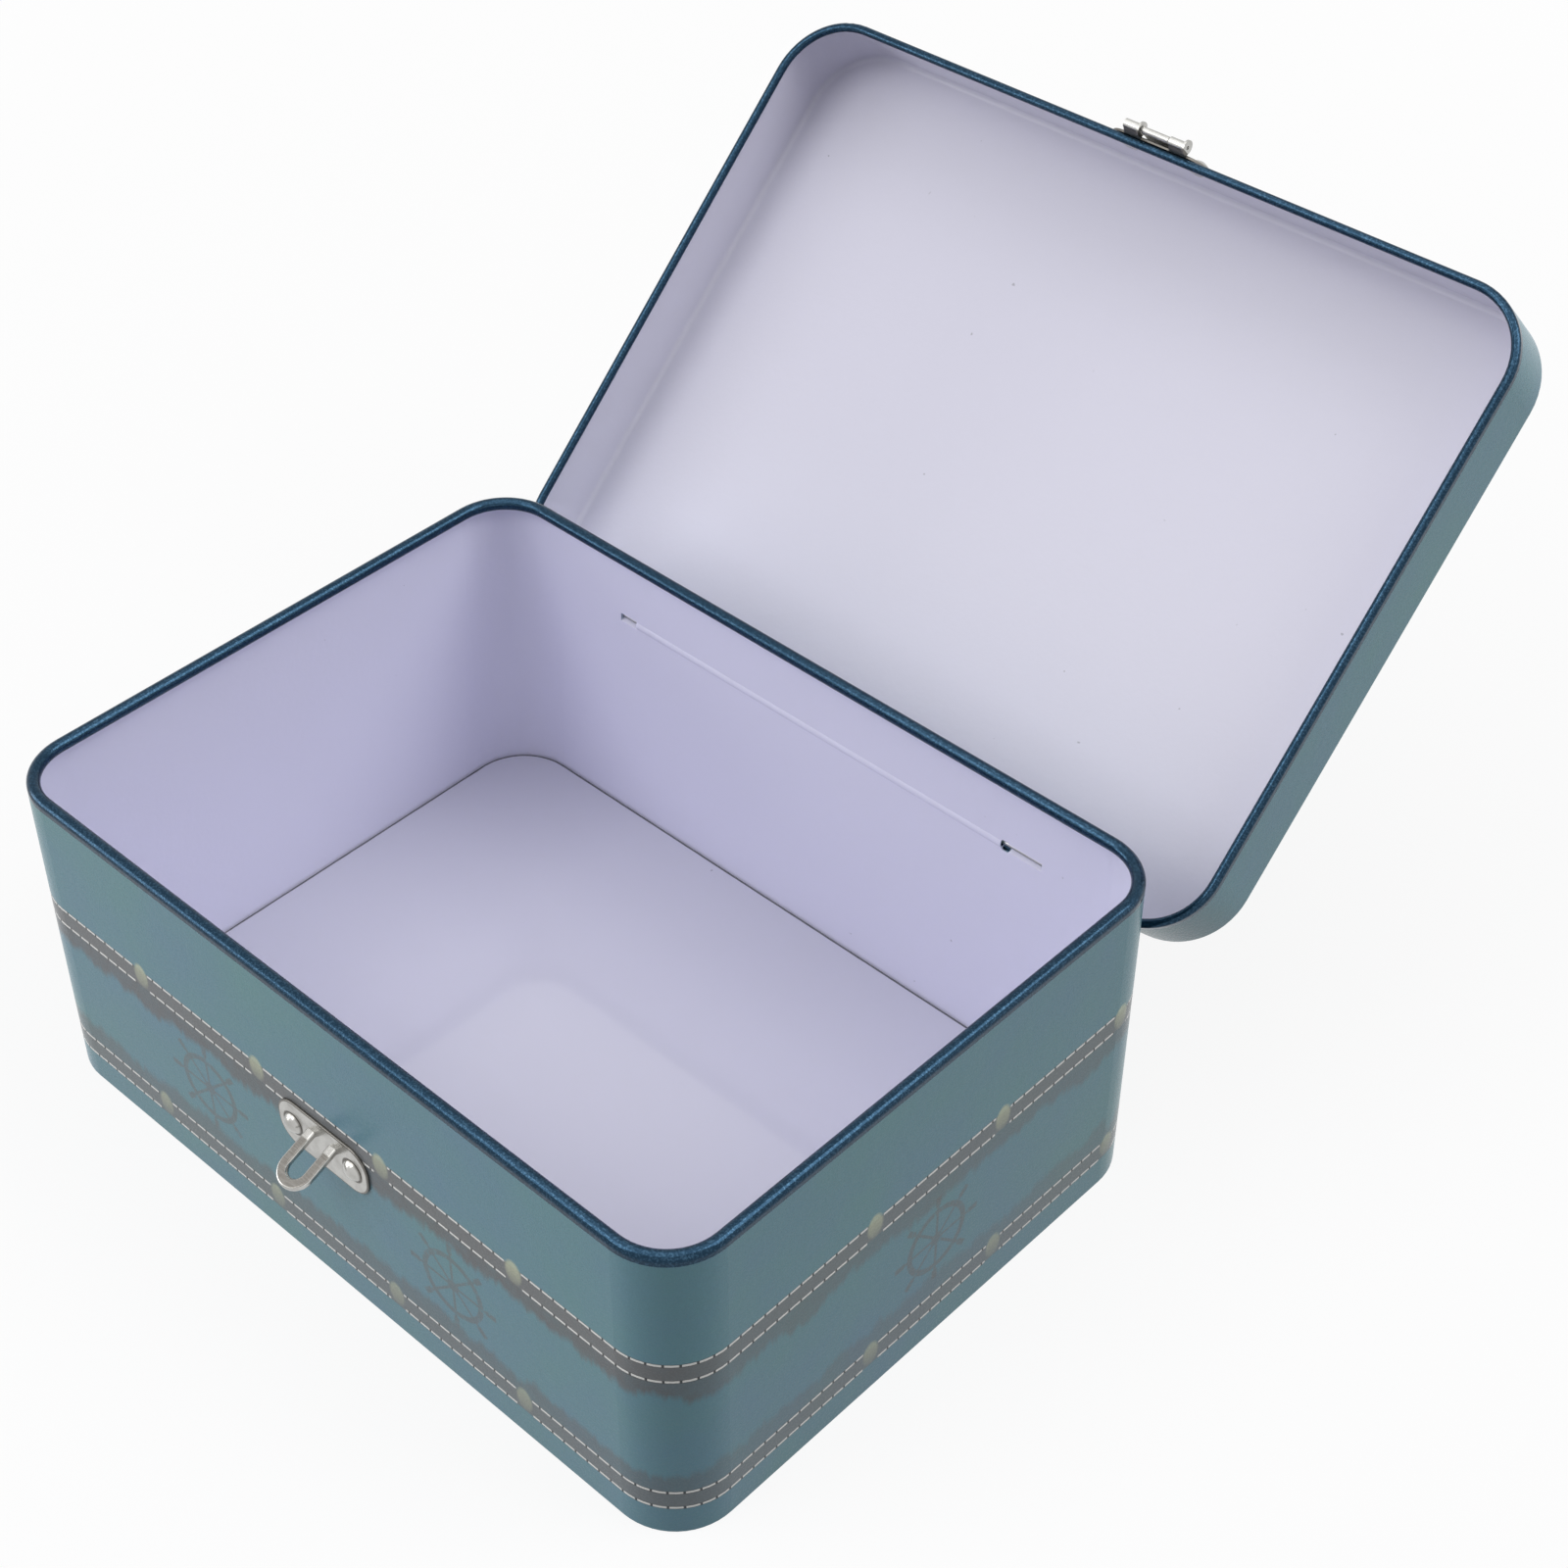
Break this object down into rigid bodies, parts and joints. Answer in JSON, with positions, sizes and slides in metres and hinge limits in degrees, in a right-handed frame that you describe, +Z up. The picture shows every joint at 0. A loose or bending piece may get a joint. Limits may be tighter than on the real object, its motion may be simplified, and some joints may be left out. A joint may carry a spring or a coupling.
{
  "type": "tin storage box",
  "caption": "Rectangular tinplate storage box with rounded corners, a wire-hinged lid that swings back and a riveted hasp whose slotted flap closes over a loop.",
  "frame": {"origin": "centre of the rectangle that the base's folded seam stands on", "axes": "+Z up, +Y towards the hinge side, X along the box's width"},
  "size_m": [0.2048, 0.2867, 0.1701],
  "materials": {
    "tin_lacquer": "glossy teal lacquer outside, white enamel inside",
    "white_enamel": "glossy white enamel",
    "bright_nickel": "bright nickel plating",
    "steel_wire": "plain drawn wire"
  },
  "bodies": {
    "box": {"body_wall": "tin_lacquer", "floor_pan": "white_enamel", "hinge_wire": "steel_wire", "catch_plate": "bright_nickel", "catch_loop": "bright_nickel", "catch_rivets": "bright_nickel"},
    "lid": {"lid_shell": "tin_lacquer", "hasp_base": "bright_nickel", "hasp_pin": "steel_wire", "hasp_rivets": "bright_nickel"},
    "flap": {"hasp_flap": "bright_nickel"}
  },
  "joints": [
    {"name": "lid_hinge", "type": "hinge", "parent": "box", "child": "lid", "pos_m": [0, 0.0739, 0.0626], "axis": [1, 0, 0], "range_deg": [0, 136]},
    {"name": "flap_hinge", "type": "hinge", "parent": "lid", "child": "flap", "pos_m": [0.0012, 0.18373, 0.16839], "axis": [1, 0, 0], "range_deg": [0, 180]}
  ]
}
